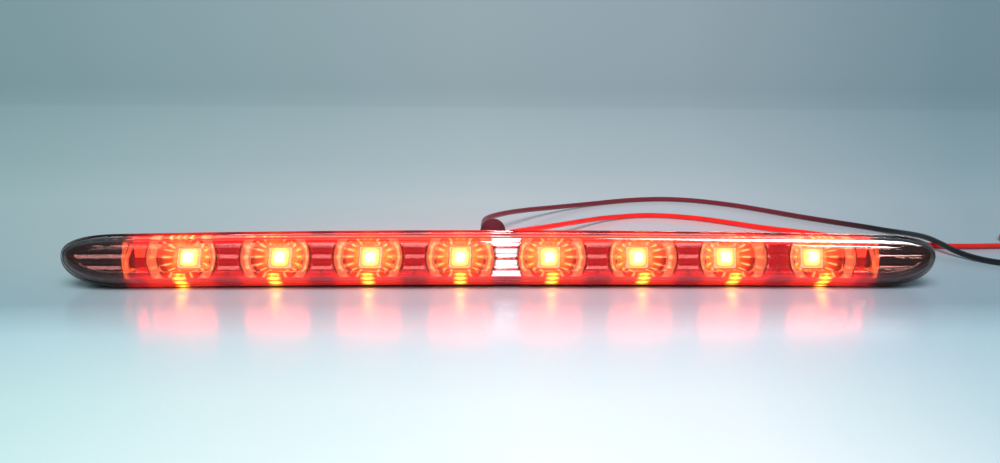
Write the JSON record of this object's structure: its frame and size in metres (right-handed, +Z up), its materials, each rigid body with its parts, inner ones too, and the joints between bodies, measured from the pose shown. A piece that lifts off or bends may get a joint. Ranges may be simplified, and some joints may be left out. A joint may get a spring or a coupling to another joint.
{
  "type": "third brake light",
  "caption": "Slim lit third brake light: smoked lens over chrome LED cups, black sealed rear housing with studs, rubber boot and two leads.",
  "frame": {"origin": "on the surface that the lamp rests on, under the middle of the lamp's box without its leads", "axes": "+X along the lamp to the right as seen from the lit side, +Y from the lens to the back, +Z up; the lamp's own axis leans back 12.4 degrees"},
  "size_m": [0.3996, 0.1784, 0.0194],
  "materials": {
    "smoked_lens": "polished smoked clear acrylic",
    "sealant": "satin black sealant",
    "reflector_chrome": "vacuum metallised, mirror bright",
    "board_green": "solder mask, satin",
    "led_epoxy": "clear red epoxy, lit",
    "component_black": "moulded component body",
    "screw_zinc": "zinc plated",
    "housing_black": "fine grained black moulding",
    "stud_zinc": "zinc plated steel",
    "foam_black": "closed cell foam, matt",
    "vent_plastic": "satin",
    "boot_rubber": "matt rubber",
    "lead_black_pvc": "semi gloss flexible vinyl",
    "lead_red_pvc": "semi gloss flexible vinyl",
    "crimp_brass": "tin flashed brass",
    "sleeve_black_vinyl": "semi gloss vinyl",
    "sleeve_red_vinyl": "semi gloss vinyl"
  },
  "bodies": {
    "root": {"lens": "smoked_lens", "sealant_bead": "sealant", "reflector": "reflector_chrome", "circuit_board": "board_green", "led_1": "led_epoxy", "led_2": "led_epoxy", "led_3": "led_epoxy", "led_4": "led_epoxy", "led_5": "led_epoxy", "led_6": "led_epoxy", "led_7": "led_epoxy", "led_8": "led_epoxy", "resistor_1": "component_black", "resistor_2": "component_black", "resistor_3": "component_black", "resistor_4": "component_black", "protection_diode": "component_black", "board_screws": "screw_zinc", "housing": "housing_black", "stud_left": "stud_zinc", "stud_right": "stud_zinc", "mounting_gasket": "foam_black", "vent_plug": "vent_plastic", "wire_boot": "boot_rubber", "inner_lead_black": "lead_black_pvc", "inner_lead_red": "lead_red_pvc", "lead_black": "lead_black_pvc", "lead_red": "lead_red_pvc", "crimp_black": "crimp_brass", "crimp_red": "crimp_brass", "sleeve_black": "sleeve_black_vinyl", "sleeve_red": "sleeve_red_vinyl"}
  },
  "joints": []
}
